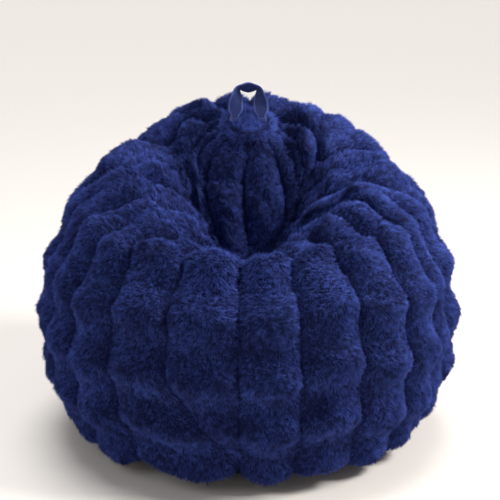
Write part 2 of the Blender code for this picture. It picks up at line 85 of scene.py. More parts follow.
CROWN_OUT = CROWN_NORMAL / np.linalg.norm(CROWN_NORMAL)
CROWN_BACK = np.cross(CROWN_OUT, [1.0, 0.0, 0.0])

# Ribs: the gores anticlockwise from the seam at the front, with the width of each rib in degrees
FIRST_SEAM_DEG = -92.2
RIB_WIDTHS_DEG = {
    "front_right": (15.6, 17.1, 16.4, 14.4),
    "right": (9.3, 14.0, 15.3, 15.4),
    "back_right": (15.6, 15.6, 15.6, 15.7),
    "back_left": (14.7, 14.7, 14.7, 14.7),
    "left": (14.5, 14.5, 14.0, 12.1),
    "front_left": (14.6, 15.7, 16.9, 18.9),
}
RIBS = 4
RIB_COLUMNS = 24
SKIN_ROWS = 330
RIB_HEIGHT = 0.035
RIB_SHARE_OF_WIDTH = 0.30
RIB_ROUNDNESS_BETWEEN_BUBBLES = 0.95
RIB_ROUNDNESS_ON_BUBBLES = 0.33
# The skin's outer and inner face, from the cloth line. In the hollow the cover lies thinner.
SKIN_AT_CREASE = -0.014
SKIN_INSIDE = 0.0168
HOLLOW_STATIONS = (0, 5.8, 6.8, 9.0, 9.8, 11)
HOLLOW_THICKNESS = (1, 1, 0.1, 0.1, 0.9, 0.9)
HOLLOW_INSIDE_SHARE = 0.45
OUTER_LOWEST_Z = 0.004
INNER_LOWEST_Z = 0.0105
# How far up from the base's edge each row of bubbles swells out most
BUBBLE_ROWS = (-0.004, 0.108, 0.220, 0.332, 0.448, 0.584, 0.716, 0.830, 0.944, 1.058, 1.172)
BUBBLE_DEPTH = 0.40
FRONT_BUBBLES = 0.30
BUBBLE_SKEW = 0.45
BUBBLE_ROUNDNESS = 0.6
# How the rows of bubbles rise and fall round the body: size, waves in a turn, start
BUBBLE_WANDER = ((0.010, 7, 0), (0.007, 13, 1))
BACKREST_BUBBLE_STATIONS = (7.8, 8.8)
BACKREST_BUBBLES_LOST = 0.75
# Where the seat presses the ribs flat, and where they are fuller again up the backrest
PRESSED_STATIONS = (0, 6.4, 7.6, 8.3, 9.2, 10.2, 11)
PRESSED_HEIGHT = (1, 1, 0.62, 0.55, 1.15, 1.2, 1)
LIP_STATION = 5.1
LIP_PUFF = 0.50
LIP_RUN = 0.8
LIP_NARROWNESS = 4
COLLAR_STATION = 10.1
COLLAR_HEIGHT = 0.016
COLLAR_FILL = 0.5
# Unevenness of the ribs: height, size of its bumps, seed. The slump is from the crest into the seat.
RIB_RIPPLES = ((0.0022, 0.07, 11), (0.0012, 0.028, 12))
SLUMP_RIPPLE = (0.009, 0.15, 14)
SLUMP_STATIONS = (4.6, 5.8, 7.0, 8.0)
# Creases: over the crest they wander, and up the backrest the ribs in the middle are the widest
CREASE_WANDER_DEG = 2.6
WANDER_STATIONS = (4.0, 5.6)
WANDER_PER_STATION = 2.3
BACKREST_SPREAD_DEG = 22
SPREAD_STATIONS = (7.6, 9.0)
# The rib left of the front seam narrows away towards the floor
CLOSING_GORE = "front_left"
CLOSING_STATIONS = (2.9, 1.0)
CLOSED_RIB_DEG = 0.8
NEXT_CREASE_DEG = 4.0

# Where each pair of a gore's ribs becomes one lobe, on its way over the crest and into the seat
MERGE_STATIONS = {
    "front_right": (7.6, 5.5),
    "right": (4.3, 4.8),
    "back_right": (7.0, 8.4),
    "back_left": (8.4, 7.0),
    "left": (4.8, 4.3),
    "front_left": (5.2, 7.6),
}
MERGE_RUN = 1.2
MERGED_AT_MOST = 0.9
LOBE_SHARE_OF_WIDTH = 0.40
LOBE_ROUNDNESS = 0.56
# How deep each crease stays once it is over the crest and in the seat, from 0 to 1
SEAT_CREASES = {
    "front_right": (1.0, 0.45, 0.95, 0.40, 1.0),
    "right": (1.0, 0.35, 0.9, 0.5, 1.0),
    "back_right": (1.0, 0.7, 1.0, 0.7, 1.0),
    "back_left": (1.0, 0.7, 1.0, 0.7, 1.0),
    "left": (1.0, 0.5, 0.9, 0.35, 1.0),
    "front_left": (1.0, 0.40, 1.0, 0.5, 1.0),
}
SEATED_STATIONS = (5.0, 6.2)

# Pile. A spread is a standard deviation: of a pair, first from tuft to tuft, then within a tuft.
STRANDS_PER_RIB = 30000
STRANDS_PER_TUFT = 8
FIRST_SEED = 1000
GORE_SEED_STEP = 10
TUFT_SPREAD = 0.0027
TUFT_PULL = 0.26
STRAND_LENGTH = 0.0118
LENGTH_SPREAD = (0.16, 0.14)
LENGTH_LIMITS = (0.004, 0.018)
LENGTH_AT_CREASE = 0.38
LENGTH_RISE = 0.7
STRAND_RADIUS = 0.0008
RADIUS_LIMITS = (0.75, 1.25)
# Soft normals: how much of the skin's outward way, and how much of the strand's own
ROOT_NORMAL = (0.9, 0.45)
TIP_NORMAL = (0.8, 0.5)
ROOT_SINK = 0.001
TIP_LOWEST_Z = 0.0015
TILT_DEG = 52
TILT_SPREAD_DEG = (9, 8)
TILT_LIMITS = (0.2, 1.25)
TURN_SPREAD = (0.55, 0.28)
LEAN_DOWN = 0.75
LEAN_OUT = 0.40
SWIRL = 0.315
SWIRL_RIPPLE = (0.06, 21)
SHADE = 0.52
SHADE_RIPPLES = ((0.20, 0.022, 31), (0.12, 0.09, 32))
SHADE_SPREAD = (0.13, 0.07)
SHADE_LIMITS = (0.02, 0.98)
# Painted shade: strands near a rib's creases are coloured darker, by this much at the crease itself
CREASE_PAINTED_SHADE = 0.30
# How far a strand's four corners stand apart on the OFBake map
MAP_NUDGES = (-0.015, 0.0, 0.015, 0.0)
# The front lip: its pile is coloured paler there, a painted highlight where light from above falls on it
LIP_PAINTED_HIGHLIGHT = 0.50
LIP_HIGHLIGHT_HALF_WIDTH = 0.24
LIP_HIGHLIGHT_Y = -0.36
LIP_HIGHLIGHT_DEPTH = 0.09
LIP_HIGHLIGHT_Z = (0.375, 0.435)

# Crown: share of the way out from its centre, and height over it
CROWN_PROFILE = (
    (0.97, -0.012), (0.99, 0.004), (0.95, 0.0110), (0.75, 0.0142), (0.45, 0.0148), (0.02, 0.0148),
)
CROWN_COLUMNS = 48
CROWN_ROWS = 20
CROWN_PILE_REACH = (0.97, 0.04)
CROWN_PILE_OUT = 0.8
CROWN_PILE_FLARE = 0.35
CROWN_STRANDS = 5000
CROWN_SEED = 77
CROWN_PILE_SHARE = 1.4
CROWN_PARTING = (0.66, 0.82)

# Strap
STRAP_WIDTH = 0.034
STRAP_THICKNESS = 0.003
STRAP_FOOT_X = 0.031
STRAP_BAR_X = 0.0265
STRAP_RISE = 0.070
STRAP_CORNER = 0.011
CORNER_TWIST_DEG = 64
BAR_TWIST_DEG = 38
TWIST_STARTS = 0.22
CORNER_SHARE = 0.74
STRAP_HINGE = CROWN_CENTRE + CROWN_OUT * 0.0210
STRAP_FOOT_CLEAR = 0.007
STRAP_LEG_STEPS = 30
STRAP_CORNER_STEPS = 24
STRAP_BAR_STEPS = 8
STRAP_FOOT_SHARE = 0.45
STRAP_FULL_WIDTH_AT = 0.020
TAIL_START_X = 0.014
TAIL_END_X = 0.043
TAIL_HALF_LENGTH = 0.011
TAIL_LIFT = 0.0158
TAIL_THICKNESS = 0.0025
TAIL_STEPS = 24
TAIL_END_STEPS = 3
TAIL_END_SHARE = 0.86
# Across a band: how square its edges and faces are, and the roll along each edge
BAND_SIDES = 36
BAND_EDGE_ROUND = 0.35
BAND_FACE_ROUND = 0.8
BAND_ROLL = 0.30
BAND_ROLL_AT = 0.90
BAND_ROLL_WIDTH = 0.07
BAND_DIP = 0.15
BAND_DIP_WITHIN = 0.75
STITCH_PITCH = 0.0042
STITCH_RADIUS = 0.0004
STITCH_SIDES = 6
STITCH_ROW_AT = 0.80
STITCH_SINK = 0.93
# Along a stitch: place in pitches, and height of the thread's middle over the band's face
STITCH_PROFILE = ((-0.36, -0.0003), (0.0, 0.00035), (0.36, -0.0003))

# Base panels: two half discs that meet at the zip, raised beside it and ridged along the rim's seam
BASE_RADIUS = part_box("base_panel_front")[1][0]
BASE_THICKNESS = 0.004
BASE_RAISE = 0.0055
RAISE_START_Y = 0.036
RAISE_END_Y = 0.020
OPENING_HALF = 0.252
OPENING_EDGE_Y = 0.010
TOUCH = 0.0003
EDGE_ROWS = (0.0, 0.0030, 0.0036)
RIM_SHARE = 0.86
MIDDLE_SHARE = 0.85
RIM_COLUMNS = 10
MIDDLE_COLUMNS = 60
SLOPE_ROWS = 8
PANEL_SWEEP_DEG = (16, 84)
PANEL_ROWS = 26
SEAM_FROM_RIM = 0.006
SEAM_WIDTH = 0.003
SEAM_STEP = 0.0008
PANEL_WAVE = 0.0004
PANEL_WAVE_RIPPLE = (0.05, 41)
PANEL_RIM_WIDTH = 0.02
FLAT_WITHIN = 0.001

# Camera, floor and light
CAMERA_TARGET = (0.004, 0.0, 0.405)
CAMERA_ELEVATION_DEG = 16
CAMERA_DISTANCE = 2.8
VIEW_WIDTH = 1.126
SENSOR_MM = 36
FLOOR_SIDES = 64
FLOOR_RINGS = 26
FLOOR_FLAT = 5.0
FLOOR_RADIUS = 25.0
FLOOR_RISE = 9.0
WORLD_COLOUR = (0.92, 0.93, 0.95)
WORLD_STRENGTH = 0.28
LIGHT_TARGET = (0, 0, 0.35)
# Place, diameter, power in watts and colour of each area light
AREA_LIGHTS = {
    "key": ((2.3, -0.6, 2.2), 1.0, 125, (1.0, 0.98, 0.95)),
    "fill": ((-2.2, -1.2, 1.8), 2.0, 16, (0.95, 0.97, 1.0)),
}
SKY_STRENGTH = 2.7
SKY_SOFTNESS_DEG = 35
SKY_TILT_DEG = (-14, -4)


# Body surface

def mirrored(stations):
    return [(-x, y, z) for x, y, z in stations]


def smooth_step(share):
    share = np.clip(share, 0, 1)
    return share * share * (3 - 2 * share)


def eased(value, start, end):
    """0 at start, 1 at end, and a smooth step between them."""
    return smooth_step((value - start) / (end - start))


def unit(vectors):
    return vectors / np.maximum(np.linalg.norm(vectors, axis=-1, keepdims=True), 1e-12)


def station_waves():
    """The stations round the body as a Fourier series in the compass angle, eight meridians exact."""
    right_to_back = [SIDE, BACK_SIDE, BACK]
    left_to_front = [mirrored(BACK_SIDE), mirrored(SIDE), mirrored(FRONT_SIDE), FRONT, FRONT_SIDE]
    ring = np.array(right_to_back + left_to_front, dtype=float)
    return np.fft.rfft(ring, axis=0) / MERIDIANS


WAVES = station_waves()


def around(angle):
    """The stations of the meridian through each angle (radians): an array of point, station, xyz."""
    angle = angle[:, None, None]
    total = np.real(WAVES[0])[None] + np.zeros((len(angle), 1, 1))
    for k in range(1, MERIDIANS // 2 + 1):
        share = 1.0 if k == MERIDIANS // 2 else 2.0
        wave = np.real(WAVES[k]) * np.cos(k * angle) - np.imag(WAVES[k]) * np.sin(k * angle)
        total = total + share * wave
    return total


def along(stations, t):
    """Catmull-Rom through each point's own meridian at its own t (0 base, TOP_STATION crown)."""
    before = 2 * stations[:, :1] - stations[:, 1:2]
    after = 2 * stations[:, -1:] - stations[:, -2:-1]
    padded = np.concatenate([before, stations, after], axis=1)
    t = np.clip(t, 0, TOP_STATION)
    i = np.minimum(t.astype(int), TOP_STATION - 1)
    u = (t - i)[:, None]
    row = np.arange(len(t))
    a, b, c, d = (padded[row, i + k] for k in range(4))
    square = 2 * a - 5 * b + 4 * c - d
    cube = 3 * b - a - 3 * c + d
    return 0.5 * (2 * b + (c - a) * u + square * u**2 + cube * u**3)


def cloth(angle, t):
    """The cloth line, its outward normal and its width per radian at each angle and t."""
    place = along(around(angle), t)
    east = along(around(angle + SLOPE_STEP), t) - along(around(angle - SLOPE_STEP), t)
    here = around(angle)
    high = np.minimum(t + SLOPE_STEP, TOP_STATION)
    low = np.maximum(t - SLOPE_STEP, 0)
    normal = unit(np.cross(east, along(here, high) - along(here, low)))
    share = eased(t, BLEND_STATION, TOP_STATION)[:, None]
    normal = normal * (1 - share) + CROWN_OUT * share
    flat = np.clip(1 - t, 0, 1)[:, None]
    normal = unit(normal * (1 - flat) + np.array([0, 0, -1.0]) * flat)
    width = np.linalg.norm(east, axis=1) / (2 * SLOPE_STEP)
    return place, normal, width


def ripple(places, size, seed, waves=18):
    """Smooth noise of about -1 to 1 over points in space, with bumps of the given size."""
    rng = np.random.default_rng(seed)
    total = np.zeros(places.shape[:-1])
    for _ in range(waves):
        way = unit(rng.normal(size=3)) * 2 * math.pi / (size * rng.uniform(0.7, 1.5))
        total += np.sin(places @ way + rng.uniform(0, 2 * math.pi))
    return total / math.sqrt(waves / 2) / 1.5


# Cover skin

def crease_angles(name, start_deg, t):
    """The angle of each crease of a gore along t, in degrees: an array of crease, t."""
    edges = start_deg + np.concatenate([[0], np.cumsum(RIB_WIDTHS_DEG[name])])
    creases = np.repeat(edges[:, None], len(t), axis=1)
    if name == CLOSING_GORE:
        closing = eased(t, *CLOSING_STATIONS)
        creases[3] += (creases[4] - creases[3] - CLOSED_RIB_DEG) * closing
        creases[2] += NEXT_CREASE_DEG * closing
    # a seam wanders alike from both its gores
    turn = np.radians(edges)
    phase = (5 * turn + 3 * np.sin(3 * turn))[:, None]
    wander = CREASE_WANDER_DEG * eased(t, *WANDER_STATIONS) * np.sin(WANDER_PER_STATION * t + phase)
    from_front = np.radians(edges - FIRST_SEAM_DEG)
    spread = (BACKREST_SPREAD_DEG * np.sin(from_front) * (1 + np.cos(from_front)) / 2)[:, None]
    return creases + wander + spread * eased(t, *SPREAD_STATIONS)


def gore_grid(name, start_deg):
    """The skin of one gore on a grid of columns across its ribs and rows up its meridians."""
    across = np.linspace(0, RIBS, RIBS * RIB_COLUMNS + 1)
    t = np.linspace(0, TOP_STATION, SKIN_ROWS)
    creases = crease_angles(name, start_deg, t)
    rib = np.minimum(across.astype(int), RIBS - 1)
    share = (across - rib)[:, None]
    degrees = creases[rib] * (1 - share) + creases[rib + 1] * share
    rib_angle = np.radians(creases[rib + 1] - creases[rib])
    grid_t = np.repeat(t[None, :], len(across), axis=0)
    place, normal, width = cloth(np.radians(degrees).ravel(), grid_t.ravel())
    shape = degrees.shape
    place, normal = place.reshape(*shape, 3), normal.reshape(*shape, 3)
    step = np.linalg.norm(np.diff(place, axis=1), axis=2)
    length = np.concatenate([np.zeros((shape[0], 1)), np.cumsum(step, axis=1)], axis=1)
    middle = rib * RIB_COLUMNS + RIB_COLUMNS // 2
    return dict(name=name, across=across, t=grid_t, share=np.repeat(share, len(t), axis=1),
                angle=np.radians(degrees), place=place, normal=normal,
                rib_width=width.reshape(shape) * rib_angle, length=length[middle])


def rib_profile(share, roundness):
    return np.sin(np.pi * np.clip(share, 0, 1)) ** roundness


def rib_bubbles(g):
    """How far each point is up its bubble, from 0 in the dip between two to 1 on top."""
    wander = sum(size * np.sin(waves * g["angle"] + start) for size, waves, start in BUBBLE_WANDER)
    turn = 2 * math.pi * np.interp(g["length"] + wander, BUBBLE_ROWS, range(len(BUBBLE_ROWS)))
    return (0.5 + 0.5 * np.cos(turn + BUBBLE_SKEW * np.sin(turn))) ** BUBBLE_ROUNDNESS


def raise_skin(g):
    """Lifts the ribs and their bubbles off the cloth line, and merges ribs in pairs up the backrest."""
    t, across = g["t"], g["across"]
    swell = rib_bubbles(g)
    rounder = RIB_ROUNDNESS_ON_BUBBLES - RIB_ROUNDNESS_BETWEEN_BUBBLES
    single = rib_profile(g["share"], RIB_ROUNDNESS_BETWEEN_BUBBLES + rounder * swell)
    crease = np.array(SEAT_CREASES[g["name"]])[np.round(across).astype(int)][:, None]
    single = 1 - (1 - single) * (1 - eased(t, *SEATED_STATIONS) * (1 - crease))
    pair = rib_profile((across[:, None] / 2) % 1.0 + 0 * t, LOBE_ROUNDNESS)
    merge_at = np.array(MERGE_STATIONS[g["name"]])[np.minimum(across // 2, 1).astype(int)][:, None]
    merged = eased(t, merge_at, merge_at + MERGE_RUN) * MERGED_AT_MOST
    profile = single * (1 - merged) + pair * merged
    share_of_width = RIB_SHARE_OF_WIDTH + (LOBE_SHARE_OF_WIDTH - RIB_SHARE_OF_WIDTH) * merged
    height = np.minimum(RIB_HEIGHT, share_of_width * g["rib_width"] * (1 + merged))
    collar = eased(t, COLLAR_STATION, TOP_STATION)
    height = height * (1 - collar) + COLLAR_HEIGHT * collar
    profile = profile + (1 - profile) * COLLAR_FILL * collar
    # the front has the deepest bubbles, and the front lip is the fullest
    front = ((1 + np.cos(g["angle"] - math.radians(FIRST_SEAM_DEG))) / 2) ** 2
    lip = front**LIP_NARROWNESS * np.exp(-(((t - LIP_STATION) / LIP_RUN) ** 2))
    height = height * (1 + LIP_PUFF * lip)
    depth = BUBBLE_DEPTH + FRONT_BUBBLES * front
    depth = depth * (1 - BACKREST_BUBBLES_LOST * eased(t, *BACKREST_BUBBLE_STATIONS)) * (1 - collar)
    pressed = np.interp(t, PRESSED_STATIONS, PRESSED_HEIGHT)
    puff = height * profile * (1 - depth * (1 - swell)) * pressed
    rough = sum(rise * ripple(g["place"], size, seed) for rise, size, seed in RIB_RIPPLES)
    rise, size, seed = SLUMP_RIPPLE
    rough = rough + rise * np.interp(t, SLUMP_STATIONS, (0, 1, 1, 0)) * ripple(g["place"], size, seed)
    thick = np.interp(t, HOLLOW_STATIONS, HOLLOW_THICKNESS)
    lift = SKIN_AT_CREASE * thick + puff + rough * profile
    skin = g["place"] + g["normal"] * lift[..., None]
    skin[..., 2] = np.maximum(skin[..., 2], OUTER_LOWEST_Z)
    sunk = SKIN_INSIDE * (HOLLOW_INSIDE_SHARE + (1 - HOLLOW_INSIDE_SHARE) * thick)
    inner = g["place"] - g["normal"] * sunk[..., None]
    inner[..., 2] = np.maximum(inner[..., 2], INNER_LOWEST_Z)
    up, side = np.gradient(skin, axis=1), np.gradient(skin, axis=0)
    g.update(skin=skin, inner=inner, profile=profile, fan=2 * g["share"] - 1, up=unit(up),
             out=unit(np.cross(side, up)))
    return g


# Meshes

def new_mesh(name, points, loops, sizes, slot, material):
    """A mesh object from flat arrays: points, corner indices and corners in each face."""
    mesh = bpy.data.meshes.new(name)
    mesh.vertices.add(len(points))
    mesh.vertices.foreach_set("co", np.ascontiguousarray(points, dtype=np.float32).ravel())
    mesh.loops.add(len(loops))
    mesh.loops.foreach_set("vertex_index", np.ascontiguousarray(loops, dtype=np.int32))
    mesh.polygons.add(len(sizes))
    starts = np.concatenate([[0], np.cumsum(sizes)[:-1]])
    mesh.polygons.foreach_set("loop_start", starts.astype(np.int32))
    mesh.polygons.foreach_set("loop_total", np.asarray(sizes, dtype=np.int32))
    mesh.update(calc_edges=True)
    mesh.shade_smooth()
    mesh.materials.append(material)
    piece = bpy.data.objects.new(name, mesh)
    bpy.context.collection.objects.link(piece)
    return piece


def set_uv(piece, uv):
    """Gives each point of a mesh its place on the OFBake map."""
    mesh = piece.data
    corner = np.empty(len(mesh.loops), dtype=np.int32)
    mesh.loops.foreach_get("vertex_index", corner)
    layer = mesh.uv_layers.new(name="OFBake")
    layer.data.foreach_set("uv", uv[corner].astype(np.float32).ravel())


def shell_faces(columns, rows):
    """Quads of one closed solid between two grids, the outer grid first."""
    half = columns * rows

    def quads(a, b, c, d):
        return np.stack([a, b, c, d], axis=-1).reshape(-1, 4)

    index = np.arange(half).reshape(columns, rows)
    low, right = index[:-1, :-1], index[1:, :-1]
    up, far = index[:-1, 1:], index[1:, 1:]
    faces = [quads(low, right, far, up), quads(low + half, up + half, far + half, right + half)]
    a, b = index[:-1, 0], index[1:, 0]
    faces.append(quads(a, a + half, b + half, b))
    a, b = index[:-1, -1], index[1:, -1]
    faces.append(quads(a, b, b + half, a + half))
    a, b = index[0, :-1], index[0, 1:]
    faces.append(quads(a, b, b + half, a + half))
    a, b = index[-1, :-1], index[-1, 1:]
    faces.append(quads(a, a + half, b + half, b))
    return np.concatenate(faces)


def tube(grid):
    """Points, corners and face sizes of a closed solid round a loop of columns, with end caps."""
    columns, rows = grid.shape[:2]
    index = np.arange(columns * rows).reshape(columns, rows)
    following = np.roll(index, -1, axis=0)
    quads = np.stack([index[:, :-1], following[:, :-1], following[:, 1:], index[:, 1:]], axis=-1)
    corners = np.concatenate([quads.reshape(-1), index[::-1, 0], index[:, -1]])
    sizes = np.concatenate([np.full(columns * (rows - 1), 4), [columns, columns]])
    return grid.reshape(-1, 3), corners, sizes


def together(parts):
    """Several solids' points, corners and face sizes as one set."""
    starts = np.concatenate([[0], np.cumsum([len(points) for points, _, _ in parts])[:-1]])
    points = np.concatenate([part[0] for part in parts])
    corners = np.concatenate([part[1] + start for part, start in zip(parts, starts)])
    return points, corners, np.concatenate([part[2] for part in parts])


def skin_piece(g, material):
    """The gore's backing cloth as one closed solid."""
    columns, rows = g["skin"].shape[:2]
    points = np.concatenate([g["skin"].reshape(-1, 3), g["inner"].reshape(-1, 3)])
    faces = shell_faces(columns, rows)
    sizes = np.full(len(faces), 4)
    piece = new_mesh("cover_" + g["name"], points, faces.ravel(), sizes, "plush", material)
    u, v = np.meshgrid(np.linspace(0.01, 0.49, columns), np.linspace(0.01, 0.99, rows), indexing="ij")
    outside = np.stack([u, v], axis=-1).reshape(-1, 2)
    set_uv(piece, np.concatenate([outside, outside + np.array([0.5, 0])]))
    return piece


# Pile

def cell_sampler(g, first, last):
    """The area of each cell of the skin between two columns, and its running total."""
    skin = g["skin"][first:last + 1]
    side = skin[1:, :-1] - skin[:-1, :-1]
    up = skin[:-1, 1:] - skin[:-1, :-1]
    area = np.linalg.norm(np.cross(side, up), axis=2)
    return area, np.cumsum(area.ravel())


def bilinear(grid, c, r, fc, fr):
    fc, fr = fc[:, None], fr[:, None]
    low = grid[c, r] * (1 - fc) + grid[c + 1, r] * fc
    high = grid[c, r + 1] * (1 - fc) + grid[c + 1, r + 1] * fc
    return low * (1 - fr) + high * fr


def at_columns(g, key, column, row):
    """A grid value at fractional columns and rows."""
    grid = g[key] if g[key].ndim == 3 else g[key][..., None]
    c = np.clip(column.astype(int), 0, grid.shape[0] - 2)
    r = np.clip(row.astype(int), 0, grid.shape[1] - 2)
    return bilinear(grid, c, r, column - c, row - r)


def lip_painted_highlight(place):
    """How much painted highlight the pile of the front lip gets: 0 to 1."""
    sideways = np.exp(-((place[:, 0] / LIP_HIGHLIGHT_HALF_WIDTH) ** 2))
    inward = np.exp(-(((place[:, 1] - LIP_HIGHLIGHT_Y) / LIP_HIGHLIGHT_DEPTH) ** 2))
    return sideways * inward * eased(place[:, 2], *LIP_HIGHLIGHT_Z)


def strands(g, first, last, count, seed, longer=1.0):
    """Root, tip, outward way and shade of each strand of the pile between two columns of a gore."""
    rng = np.random.default_rng(seed)
    area, total = cell_sampler(g, first, last)
    rows = area.shape[1]
    tufts = count // STRANDS_PER_TUFT
    spot = (np.arange(tufts) + rng.uniform(0, 1, tufts)) / tufts * total[-1]
    cell = np.minimum(np.searchsorted(total, spot), len(total) - 1)
    column = first + cell // rows + rng.uniform(0, 1, tufts)
    row = cell % rows + rng.uniform(0, 1, tufts)
    size = np.sqrt(area.ravel()[cell])
    # each tuft's strands stand round its middle
    tuft = np.repeat(np.arange(tufts), STRANDS_PER_TUFT)
    n = len(tuft)
    ahead = at_columns(g, "skin", column, np.minimum(row + 1, rows))
    cell_up = np.linalg.norm(ahead - at_columns(g, "skin", column, row), axis=1)
    cell_side = size * size / np.maximum(cell_up, 1e-5)
    spread = rng.normal(size=(n, 2)) * TUFT_SPREAD
    c = column[tuft] + spread[:, 0] / np.maximum(cell_side[tuft], 2e-4)
    r = row[tuft] + spread[:, 1] / np.maximum(cell_up[tuft], 2e-4)
    c = np.clip(first + np.abs(c - first), first, last)
    c = last - np.abs(last - c)
    c = np.clip(c, first, last)
    r = np.clip(r, 0, rows)
    root = at_columns(g, "skin", c, r)
    out = unit(at_columns(g, "out", c, r))
    up = unit(at_columns(g, "up", c, r))
    side = unit(np.cross(up, out))
    profile = at_columns(g, "profile", c, r)[:, 0]
    fan = at_columns(g, "fan", c, r)[:, 0]

    def varied(spreads):
        return spreads[0] * rng.normal(size=tufts)[tuft] + spreads[1] * rng.normal(size=n)

    # lean: down the rib, out over its creases, and each tuft its own way
    turn = varied(TURN_SPREAD)
    lean = unit(-up * LEAN_DOWN + side * (LEAN_OUT * fan + SWIRL * ripple(root, *SWIRL_RIPPLE))[:, None])
    lean = lean * np.cos(turn)[:, None] + side * np.sin(turn)[:, None]
    tilt = np.clip(np.radians(TILT_DEG + varied(TILT_SPREAD_DEG)), *TILT_LIMITS)
    length = np.clip(STRAND_LENGTH * (1 + varied(LENGTH_SPREAD)), *LENGTH_LIMITS)
    length = length * (LENGTH_AT_CREASE + (1 - LENGTH_AT_CREASE) * profile**LENGTH_RISE) * longer
    way = unit(out * np.cos(tilt)[:, None] + lean * np.sin(tilt)[:, None])
    tip = root + way * length[:, None]
    middle = np.zeros((tufts, 3))
    np.add.at(middle, tuft, tip)
    middle /= STRANDS_PER_TUFT
    tip = tip * (1 - TUFT_PULL) + middle[tuft] * TUFT_PULL
    tip[:, 2] = np.maximum(tip[:, 2], TIP_LOWEST_Z)
    shade = SHADE + sum(share * ripple(root, size, seed) for share, size, seed in SHADE_RIPPLES)
    shade = shade + varied(SHADE_SPREAD)
    # painted shade darkens the strands by the creases, and a painted highlight lightens the front lip
    shade = shade - CREASE_PAINTED_SHADE * (1 - profile) ** 2 + LIP_PAINTED_HIGHLIGHT * lip_painted_highlight(root)
    return root - out * ROOT_SINK, tip, out, np.clip(shade, *SHADE_LIMITS), rng


def pile_piece(name, root, tip, out, shade, rng, material):
    """Closed three-sided spikes from their roots to their tips, with soft normals."""
    n = len(root)
    way = unit(tip - root)
    a = unit(np.cross(way, out + 0.01))
    b = np.cross(way, a)
    start = rng.uniform(0, 2 * math.pi, n)
    radius = STRAND_RADIUS * rng.uniform(*RADIUS_LIMITS, n)
    points = np.empty((n, 4, 3))
    normals = np.empty((n, 4, 3))
    for k in range(3):
        turn = start + k * 2 * math.pi / 3
        spoke = a * np.cos(turn)[:, None] + b * np.sin(turn)[:, None]
        points[:, k] = root + spoke * radius[:, None]
        normals[:, k] = unit(out * ROOT_NORMAL[0] + spoke * ROOT_NORMAL[1])
    points[:, 3] = tip
    normals[:, 3] = unit(out * TIP_NORMAL[0] + way * TIP_NORMAL[1])
    base = (np.arange(n) * 4)[:, None]
    corners = np.array([0, 1, 3, 1, 2, 3, 2, 0, 3, 0, 2, 1])
    loops = (base + corners).ravel()
    piece = new_mesh(name, points.reshape(-1, 3), loops, np.full(n * 4, 3), "plush", material)
    piece.data.normals_split_custom_set_from_vertices(normals.reshape(-1, 3))
    uv = np.empty((n, 4, 2))
    for k, nudge in enumerate(MAP_NUDGES):
        uv[:, k, 0] = np.clip(shade + nudge, 0.003, 0.997)
        uv[:, k, 1] = 0.01 if k < 3 else 0.99
    set_uv(piece, uv.reshape(-1, 2))
    return piece


# Materials

def new_material(name, colour, roughness, **sockets):
    material = bpy.data.materials.new(name)
    material.use_nodes = True
    shader = material.node_tree.nodes["Principled BSDF"]
    shader.inputs["Base Color"].default_value = (*colour, 1.0)
    shader.inputs["Roughness"].default_value = roughness
    for socket, value in sockets.items():
        shader.inputs[socket.replace("_", " ")].default_value = value
    return material, shader


def ramp_node(nodes, stops):
    ramp = nodes.new("ShaderNodeValToRGB")
    elements = ramp.color_ramp.elements
    while len(elements) > 1:
        elements.remove(elements[-1])
    for k, (position, colour) in enumerate(stops):
        element = elements[0] if k == 0 else elements.new(position)
        element.position = position
        element.color = (*colour, 1.0)
    return ramp


def map_place(nodes, links):
    """The two directions of the OFBake map."""
    place = nodes.new("ShaderNodeUVMap")
    place.uv_map = "OFBake"
    split = nodes.new("ShaderNodeSeparateXYZ")
    links.new(place.outputs["UV"], split.inputs[0])
    return split.outputs["X"], split.outputs["Y"]


def tint(nodes, links, shader, first, second):
    """Base colour as the product of two colours."""
    mix = nodes.new("ShaderNodeMix")
    mix.data_type = "RGBA"
    mix.blend_type = "MULTIPLY"
    mix.clamp_result = False
    mix.inputs[0].default_value = 1.0
    links.new(first, mix.inputs[6])
    links.new(second, mix.inputs[7])
    links.new(mix.outputs[2], shader.inputs["Base Color"])


def pile_material():
    """Dark at the strands' roots and lighter at their tips, each strand in its own shade."""
    material, shader = new_material("plush_pile", (0.02, 0.035, 0.15), 0.75, Specular_IOR_Level=0.12)
    nodes, links = material.node_tree.nodes, material.node_tree.links
    strand, along_it = map_place(nodes, links)
    height = ramp_node(nodes, [(0.0, (0.0022, 0.004, 0.022)), (0.45, (0.010, 0.019, 0.105)),
                               (1.0, (0.040, 0.068, 0.320))])
    links.new(along_it, height.inputs[0])
    shade = ramp_node(nodes, [(0.0, (0.35, 0.32, 0.40)), (0.5, (0.95, 0.95, 0.95)),
                              (1.0, (1.75, 1.75, 1.60))])
    links.new(strand, shade.inputs[0])
    tint(nodes, links, shader, height.outputs[0], shade.outputs[0])
    return material


def noise_node(nodes, links, scale, detail=3, squash=(1, 1, 1)):
    """Noise over the object's own space."""
    where = nodes.new("ShaderNodeTexCoord")
    stretch = nodes.new("ShaderNodeMapping")
    stretch.inputs["Scale"].default_value = squash
    noise = nodes.new("ShaderNodeTexNoise")
    noise.inputs["Scale"].default_value = scale
    noise.inputs["Detail"].default_value = detail
    links.new(where.outputs["Object"], stretch.inputs["Vector"])
    links.new(stretch.outputs[0], noise.inputs["Vector"])
    return noise.outputs[0]


def weave_node(nodes, links, pitch):
    """Two crossed sets of threads over the object's own space, from 0 between threads to 1 on them."""
    where = nodes.new("ShaderNodeTexCoord")
    sets = []
    for direction in ("X", "Y"):
        wave = nodes.new("ShaderNodeTexWave")
        wave.bands_direction = direction
        wave.inputs["Scale"].default_value = math.pi / 10 / pitch
        wave.inputs["Distortion"].default_value = 0.6
        links.new(where.outputs["Object"], wave.inputs["Vector"])
        sets.append(wave.outputs["Fac"])
    crossed = nodes.new("ShaderNodeMath")
    crossed.operation = "MULTIPLY"
    links.new(sets[0], crossed.inputs[0])
    links.new(sets[1], crossed.inputs[1])
    return crossed.outputs[0]


